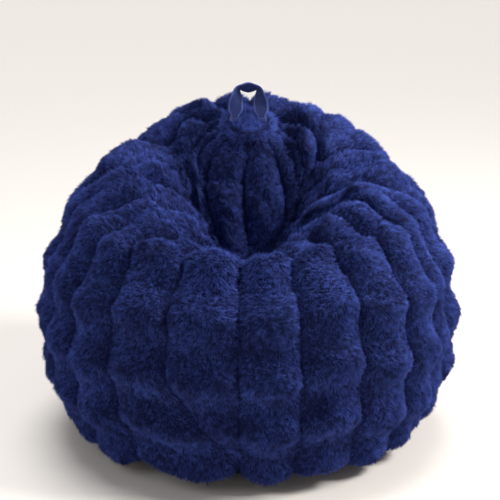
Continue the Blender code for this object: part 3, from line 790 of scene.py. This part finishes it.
def bump_from(nodes, links, shader, height, distance, strength=1.0):
    bump = nodes.new("ShaderNodeBump")
    bump.inputs["Strength"].default_value = strength
    bump.inputs["Distance"].default_value = distance
    links.new(height, bump.inputs["Height"])
    links.new(bump.outputs[0], shader.inputs["Normal"])


def strap_material():
    """Cut velvet webbing: darker in the middle, with a painted sheen that makes the edges paler."""
    material, shader = new_material("strap_velvet", (0.03, 0.05, 0.18), 0.62, Specular_IOR_Level=0.2,
                                    Sheen_Weight=0.08, Sheen_Roughness=0.4)
    nodes, links = material.node_tree.nodes, material.node_tree.links
    # rim and the edge colour next to it are a painted sheen along the strap's edges
    rim, painted_sheen_edge, middle = (0.085, 0.115, 0.360), (0.055, 0.080, 0.280), (0.018, 0.030, 0.125)
    edge = ramp_node(nodes, [(0.0, rim), (0.07, painted_sheen_edge), (0.16, middle),
                             (0.84, middle), (0.93, painted_sheen_edge), (1.0, rim)])
    links.new(map_place(nodes, links)[1], edge.inputs[0])
    nap = noise_node(nodes, links, 420)
    tone = ramp_node(nodes, [(0.3, (0.70, 0.70, 0.72)), (0.7, (1.3, 1.3, 1.25))])
    links.new(nap, tone.inputs[0])
    tint(nodes, links, shader, edge.outputs[0], tone.outputs[0])
    bump_from(nodes, links, shader, nap, 0.0004, 0.4)
    return material


def woven_material(name, colour, pitch, roughness, bump):
    """Plain woven cloth: dark gaps between threads, and a slow change of shade over it."""
    material, shader = new_material(name, colour, roughness, Specular_IOR_Level=0.25)
    nodes, links = material.node_tree.nodes, material.node_tree.links
    weave = weave_node(nodes, links, pitch)
    threads = ramp_node(nodes, [(0.0, tuple(0.45 * c for c in colour)), (0.35, colour),
                                (1.0, tuple(min(1.0, 1.5 * c) for c in colour))])
    links.new(weave, threads.inputs[0])
    patches = ramp_node(nodes, [(0.35, (0.82, 0.82, 0.82)), (0.65, (1.12, 1.12, 1.12))])
    links.new(noise_node(nodes, links, 30), patches.inputs[0])
    tint(nodes, links, shader, threads.outputs[0], patches.outputs[0])
    if bump:
        bump_from(nodes, links, shader, weave, bump, 0.6)
    return material


def mottled_material(name, colour, scale, contrast, roughness, bump=0.0, squash=(1, 1, 1), **sockets):
    """A noise-mottled finish, for what is not plainly woven."""
    material, shader = new_material(name, colour, roughness, **sockets)
    nodes, links = material.node_tree.nodes, material.node_tree.links
    grain = noise_node(nodes, links, scale, 4, squash)
    tones = [tuple(min(1.0, c * k) for c in colour) for k in (1 - contrast, 1, 1 + contrast)]
    ramp = ramp_node(nodes, list(zip((0.3, 0.5, 0.7), tones)))
    links.new(grain, ramp.inputs[0])
    links.new(ramp.outputs[0], shader.inputs["Base Color"])
    if bump:
        bump_from(nodes, links, shader, grain, bump, 0.5)
    return material


def finish_cad_nodes():
    """Better materials for the CAD nodes that stay: the zips, and what the cover holds inside."""
    metal = mottled_material("zip_metal", (0.32, 0.33, 0.36), 900, 0.25, 0.32, 0.00005, (1, 0.12, 1),
                             Metallic=1.0)
    finishes = {
        "zip_tape": woven_material("zip_tape", (0.012, 0.016, 0.055), 0.0006, 0.85, 0.0001),
        "zip_teeth": mottled_material("zip_teeth", (0.016, 0.021, 0.070), 500, 0.2, 0.38, 0.00004),
        "zip_stop": metal,
        "zip_slider": metal,
        "zip_pull": metal,
        "liner_side": woven_material("liner_cloth", (0.60, 0.60, 0.58), 0.0008, 0.9, 0),
        "liner_base": woven_material("liner_base_cloth", (0.58, 0.58, 0.56), 0.0008, 0.9, 0),
        "foam_filling": mottled_material("foam", (0.70, 0.62, 0.42), 160, 0.25, 0.95),
    }
    for node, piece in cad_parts.items():
        for part, material in finishes.items():
            if part in node:
                piece.data.materials.clear()
                piece.data.materials.append(material)


def skin_material():
    return mottled_material("plush_backing", (0.007, 0.011, 0.052), 350, 0.4, 0.95,
                            Specular_IOR_Level=0.1)


# Cover

def build_cover(pile, backing):
    seam = FIRST_SEAM_DEG
    for number, (name, rib_widths) in enumerate(RIB_WIDTHS_DEG.items()):
        g = raise_skin(gore_grid(name, seam))
        seam += sum(rib_widths)
        skin = skin_piece(g, backing)
        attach(skin, "bag")
        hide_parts("plush_gore_" + name)
        for rib in range(RIBS):
            first = rib * RIB_COLUMNS
            seed = FIRST_SEED + number * GORE_SEED_STEP + rib
            fur = strands(g, first, first + RIB_COLUMNS, STRANDS_PER_RIB, seed)
            piece = pile_piece(f"pile_{name}_{rib + 1}", *fur, pile)
            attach(piece, "bag")


# Crown

def crown_edge(columns):
    """The top ring of the gores, once round anticlockwise."""
    angle = np.linspace(-math.pi / 2, 1.5 * math.pi, columns, endpoint=False)
    return cloth(angle, np.full(columns, float(TOP_STATION)))[0]


def build_crown(pile, backing):
    """The round patch that the gores' tips are sewn to, domed and covered in the same pile."""
    edge = crown_edge(CROWN_COLUMNS)
    spokes = edge - CROWN_CENTRE
    rings = [CROWN_CENTRE + spokes * share + CROWN_OUT * rise for share, rise in CROWN_PROFILE]
    points, faces, sizes = tube(np.stack(rings, axis=1))
    skin = new_mesh("crown_patch", points, faces, sizes, "plush", backing)
    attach(skin, "bag")
    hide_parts("plush_crown_patch")
    share = np.linspace(*CROWN_PILE_REACH, CROWN_ROWS)
    profile = np.array(CROWN_PROFILE[1:])[::-1]
    rise = np.interp(share, profile[:, 0], profile[:, 1])
    closed = np.concatenate([edge, edge[:1]])
    grid = CROWN_CENTRE + (closed - CROWN_CENTRE)[:, None] * share[:, None] + CROWN_OUT * rise[:, None]
    inward = unit(np.gradient(grid, axis=1))
    out = unit(CROWN_OUT * CROWN_PILE_OUT - inward * CROWN_PILE_FLARE)
    flat = np.ones(grid.shape[:2])
    # the pile lies outward over the seam with the gores, and inward over the strap's ends
    outward = 2 * eased(share, *CROWN_PARTING) - 1
    g = dict(skin=grid, out=out, up=inward * outward[:, None], profile=flat, fan=flat * 0)
    root, tip, out, shade, rng = strands(g, 0, CROWN_COLUMNS, CROWN_STRANDS, CROWN_SEED,
                                         CROWN_PILE_SHARE)
    x = (root - CROWN_CENTRE) @ np.array([1.0, 0.0, 0.0])
    y = (root - CROWN_CENTRE) @ CROWN_BACK
    free = (np.abs(np.abs(x) - STRAP_FOOT_X) > STRAP_FOOT_CLEAR) | (np.abs(y) > STRAP_FOOT_CLEAR)
    piece = pile_piece("pile_crown", root[free], tip[free], out[free], shade[free], rng, pile)
    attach(piece, "bag")


# Strap

def between(start, end, steps):
    return [start + (end - start) * i / steps for i in range(steps)]


def strap_path():
    """The strap's centre line from the left foot up, over the top bar and down to the right foot."""
    foot = np.array([-STRAP_FOOT_X, 0.0])
    corner = np.array([-STRAP_BAR_X, STRAP_RISE])
    leg = (corner - foot) / np.linalg.norm(corner - foot)
    below = corner - leg * STRAP_CORNER
    beside = corner + np.array([STRAP_CORNER, 0.0])
    half = between(foot, below, STRAP_LEG_STEPS)
    for i in range(STRAP_CORNER_STEPS):
        u = i / STRAP_CORNER_STEPS
        half.append(below * (1 - u) ** 2 + corner * 2 * u * (1 - u) + beside * u * u)
    middle = np.array([0.0, STRAP_RISE])
    half += between(beside, middle, STRAP_BAR_STEPS)
    flip = np.array([-1.0, 1.0])
    return np.array(half + [middle] + [p * flip for p in reversed(half)])


def distance_along(points):
    return np.concatenate([[0], np.cumsum(np.linalg.norm(np.diff(points, axis=0), axis=1))])


def strap_twist(path):
    """The strap's twist along its path: none at the feet, most at the corners, less on the bar."""
    length = distance_along(path)
    share = 1 - np.abs(1 - 2 * length / length[-1])
    legs = CORNER_TWIST_DEG * eased(share, TWIST_STARTS, CORNER_SHARE)
    bar = (CORNER_TWIST_DEG - BAR_TWIST_DEG) * eased(share, CORNER_SHARE, 1)
    return np.radians(legs - bar)


def strap_frames():
    """Centre, width direction, face direction and half width at each point along the strap."""
    path = strap_path()
    ahead = unit(np.gradient(path, axis=0))
    twist = strap_twist(path)
    way = np.stack([ahead[:, 0], np.zeros(len(path)), ahead[:, 1]], axis=1)
    depth = np.array([0.0, 1.0, 0.0])
    across = depth * np.sin(twist)[:, None] + np.cross(depth, way) * np.cos(twist)[:, None]
    face = np.cross(way, across)
    centre = STRAP_HINGE + np.stack([path[:, 0], np.zeros(len(path)), path[:, 1]], axis=1)
    full = eased(path[:, 1], 0, STRAP_FULL_WIDTH_AT)
    half = STRAP_WIDTH / 2 * (STRAP_FOOT_SHARE + (1 - STRAP_FOOT_SHARE) * full)
    return centre, across, face, half


def tail_frames(side):
    """The same for the flat end of the strap that is sewn to the crown under one foot."""
    x = np.linspace(TAIL_START_X, TAIL_END_X, TAIL_STEPS) * side
    middle = TAIL_LIFT + TAIL_THICKNESS / 2
    centre = CROWN_CENTRE + CROWN_OUT * middle + x[:, None] * np.array([1.0, 0.0, 0.0])
    step = np.arange(TAIL_STEPS)
    ends = np.clip(np.minimum(step, step[::-1]) / TAIL_END_STEPS, 0, 1)
    half = TAIL_HALF_LENGTH * (TAIL_END_SHARE + (1 - TAIL_END_SHARE) * np.sqrt(ends))
    across = np.repeat(CROWN_BACK[None] * side, TAIL_STEPS, axis=0)
    return centre, across, np.repeat(CROWN_OUT[None], TAIL_STEPS, axis=0), half


def band(name, frames, thickness, material, painted_sheen_rim=True):
    """A flat webbing band with a rolled edge either side."""
    centre, across, face, half = frames
    turn = np.linspace(0, 2 * math.pi, BAND_SIDES, endpoint=False)
    side = np.sign(np.cos(turn)) * np.abs(np.cos(turn)) ** BAND_EDGE_ROUND
    thick = np.sign(np.sin(turn)) * np.abs(np.sin(turn)) ** BAND_FACE_ROUND
    roll = 1 + BAND_ROLL * np.exp(-((np.abs(side) - BAND_ROLL_AT) / BAND_ROLL_WIDTH) ** 2)
    roll = roll - BAND_DIP * (np.abs(side) < BAND_DIP_WITHIN)
    rings = centre[:, None] + across[:, None] * (side[None, :, None] * half[:, None, None])
    rings = rings + face[:, None] * (thick * roll * thickness / 2)[None, :, None]
    points, faces, sizes = tube(np.swapaxes(rings, 0, 1))
    piece = new_mesh(name, points, faces, sizes, "strap", material)
    # How far out the painted sheen on the edges reaches: the tails get less of it
    rim = 1.0 if painted_sheen_rim else 0.6
    v = np.repeat((side * rim + 1)[:, None] / 2, len(centre), axis=1)
    u = np.repeat(np.linspace(0, 1, len(centre))[None, :], BAND_SIDES, axis=0)
    set_uv(piece, np.stack([u * 0.98 + 0.01, v * 0.98 + 0.01], axis=-1).reshape(-1, 2))
    return piece


def at_length(distance, length, values):
    return np.array([np.interp(distance, length, values[:, axis]) for axis in range(3)])


def stitches(name, frames, thickness, material, faces_sewn=(-1, 1)):
    """One row of thread stitches along each edge of a band."""
    centre, across, face, half = frames
    length = distance_along(centre)
    turn = np.linspace(0, 2 * math.pi, STITCH_SIDES, endpoint=False)
    parts = []
    for row in (-1, 1):
        for sewn in faces_sewn:
            for k in range(1, int(length[-1] / STITCH_PITCH)):
                rings = []
                for shift, rise in STITCH_PROFILE:
                    at = (k + shift) * STITCH_PITCH
                    w = unit(at_length(at, length, across))
                    f = unit(at_length(at, length, face)) * sewn
                    aside = np.interp(at, length, half) * STITCH_ROW_AT * row
                    middle = at_length(at, length, centre) + w * aside
                    middle = middle + f * (thickness / 2 * STITCH_SINK + rise)
                    spokes = w * np.cos(turn)[:, None] * sewn + f * np.sin(turn)[:, None]
                    rings.append(middle + spokes * STITCH_RADIUS)
                parts.append(tube(np.swapaxes(np.array(rings), 0, 1)))
    return new_mesh(name, *together(parts), "strap", material)


def build_strap(velvet, thread):
    frames = strap_frames()
    strap = band("carry_strap", frames, STRAP_THICKNESS, velvet)
    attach(strap, "handle")
    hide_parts("handle_strap")
    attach(stitches("strap_stitches", frames, STRAP_THICKNESS, thread), "handle")
    for side, label in ((-1, "left"), (1, "right")):
        frames = tail_frames(side)
        tail = band(f"strap_tail_{label}", frames, TAIL_THICKNESS, velvet, painted_sheen_rim=False)
        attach(tail, "bag")
        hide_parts(f"handle_tail_{label}")
        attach(stitches(f"strap_tail_stitches_{label}", frames, TAIL_THICKNESS, thread, (1,)), "bag")


# Base

def base_panel(side, label, cloth_material):
    """Half of the base: cloth on the floor, raised beside the zip and ridged along the rim's seam."""
    middle = np.linspace(-MIDDLE_SHARE, MIDDLE_SHARE, MIDDLE_COLUMNS)
    rim = np.linspace(RIM_SHARE, 1, RIM_COLUMNS)
    share = np.concatenate([-rim[::-1], middle, rim])
    sweep = np.radians(np.linspace(*PANEL_SWEEP_DEG, PANEL_ROWS))
    slope = np.linspace(RAISE_END_Y, RAISE_START_Y, SLOPE_ROWS)
    levels = np.unique(np.round(np.concatenate([slope, BASE_RADIUS * np.sin(sweep)]), 5))
    edge = np.where(np.abs(share * BASE_RADIUS) < OPENING_HALF, OPENING_EDGE_Y, TOUCH / 2)
    rows = [edge + back for back in EDGE_ROWS] + [np.full(len(share), y) for y in levels]
    y = np.stack(rows, axis=1)
    reach = np.sqrt(BASE_RADIUS**2 - np.minimum(y, BASE_RADIUS) ** 2)
    x = share[:, None] * reach
    lift = BASE_RAISE * np.clip((RAISE_START_Y - y) / (RAISE_START_Y - RAISE_END_Y), 0, 1)
    from_rim = BASE_RADIUS - np.hypot(x, y)
    seam = SEAM_STEP * np.clip((from_rim - SEAM_FROM_RIM) / SEAM_WIDTH, 0, 1)
    places = np.stack([x, side * y, np.zeros(x.shape)], axis=-1)
    wave = np.maximum(PANEL_WAVE * (1 + ripple(places, *PANEL_WAVE_RIPPLE)), 0)
    low = lift + (seam + wave * np.clip(from_rim / PANEL_RIM_WIDTH, 0, 1)) * (lift < FLAT_WITHIN)
    lower, upper = places.copy(), places.copy()
    lower[..., 2] = low
    upper[..., 2] = lift + BASE_THICKNESS
    first, second = (upper, lower) if side > 0 else (lower, upper)
    faces = shell_faces(*x.shape)
    points = np.concatenate([first.reshape(-1, 3), second.reshape(-1, 3)])
    sizes = np.full(len(faces), 4)
    panel = new_mesh(f"base_cloth_{label}", points, faces.ravel(), sizes, "base_cloth", cloth_material)
    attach(panel, "bag")
    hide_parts(f"base_panel_{label}")


# Camera, floor and light

def make_camera():
    elevation = math.radians(CAMERA_ELEVATION_DEG)
    data = bpy.data.cameras.new("camera")
    data.sensor_width = SENSOR_MM
    data.lens = SENSOR_MM * CAMERA_DISTANCE / VIEW_WIDTH
    camera = bpy.data.objects.new("camera", data)
    bpy.context.collection.objects.link(camera)
    x, y, z = CAMERA_TARGET
    back, rise = CAMERA_DISTANCE * math.cos(elevation), CAMERA_DISTANCE * math.sin(elevation)
    camera.location = (x, y - back, z + rise)
    camera.rotation_euler = (math.pi / 2 - elevation, 0, 0)
    bpy.context.scene.camera = camera


def make_floor():
    """A pale studio floor, flat round the chair and curving up a long way off."""
    turn = np.linspace(0, 2 * math.pi, FLOOR_SIDES, endpoint=False)
    radius = np.linspace(0, FLOOR_RADIUS, FLOOR_RINGS)[1:]
    height = FLOOR_RISE * np.clip((radius - FLOOR_FLAT) / (FLOOR_RADIUS - FLOOR_FLAT), 0, 1) ** 2
    rings = [(r * math.cos(a), r * math.sin(a), z) for r, z in zip(radius, height) for a in turn]
    faces = [[0, 1 + k, 1 + (k + 1) % FLOOR_SIDES] for k in range(FLOOR_SIDES)]
    for ring in range(len(radius) - 1):
        low = 1 + ring * FLOOR_SIDES
        high = low + FLOOR_SIDES
        for k in range(FLOOR_SIDES):
            following = (k + 1) % FLOOR_SIDES
            faces.append([low + k, high + k, high + following, low + following])
    mesh = bpy.data.meshes.new("floor")
    mesh.from_pydata([(0, 0, 0)] + rings, [], faces)
    mesh.shade_smooth()
    mesh.materials.append(new_material("pale_floor", (0.74, 0.70, 0.66), 0.6)[0])
    floor = bpy.data.objects.new("floor", mesh)
    bpy.context.collection.objects.link(floor)


def new_light(name, kind, strength):
    data = bpy.data.lights.new(name, kind)
    data.energy = strength
    light = bpy.data.objects.new(name, data)
    bpy.context.collection.objects.link(light)
    return light


def make_light():
    """Soft studio light: a key light at the right, a weak fill at the left, a hazy sky from behind."""
    world = bpy.data.worlds.new("studio")
    bpy.context.scene.world = world
    world.use_nodes = True
    background = world.node_tree.nodes["Background"]
    background.inputs["Color"].default_value = (*WORLD_COLOUR, 1.0)
    background.inputs["Strength"].default_value = WORLD_STRENGTH
    for name, (place, size, watts, colour) in AREA_LIGHTS.items():
        light = new_light(name, "AREA", watts)
        light.data.shape = "DISK"
        light.data.size = size
        light.data.color = colour
        light.location = place
        light.rotation_euler = (Vector(LIGHT_TARGET) - Vector(place)).to_track_quat("-Z", "Y").to_euler()
    sky = new_light("sky", "SUN", SKY_STRENGTH)
    sky.data.angle = math.radians(SKY_SOFTNESS_DEG)
    sky.rotation_euler = (*map(math.radians, SKY_TILT_DEG), 0)


make_camera()
make_floor()
make_light()
bpy.context.scene.view_settings.view_transform = "Standard"
pile, backing = pile_material(), skin_material()
build_cover(pile, backing)
build_crown(pile, backing)
build_strap(strap_material(), mottled_material("strap_thread", (0.055, 0.080, 0.270), 800, 0.3, 0.6))
base_cloth = woven_material("base_cloth", (0.012, 0.014, 0.030), 0.0012, 0.8, 0.0002)
for side, label in ((-1, "front"), (1, "back")):
    base_panel(side, label, base_cloth)
finish_cad_nodes()
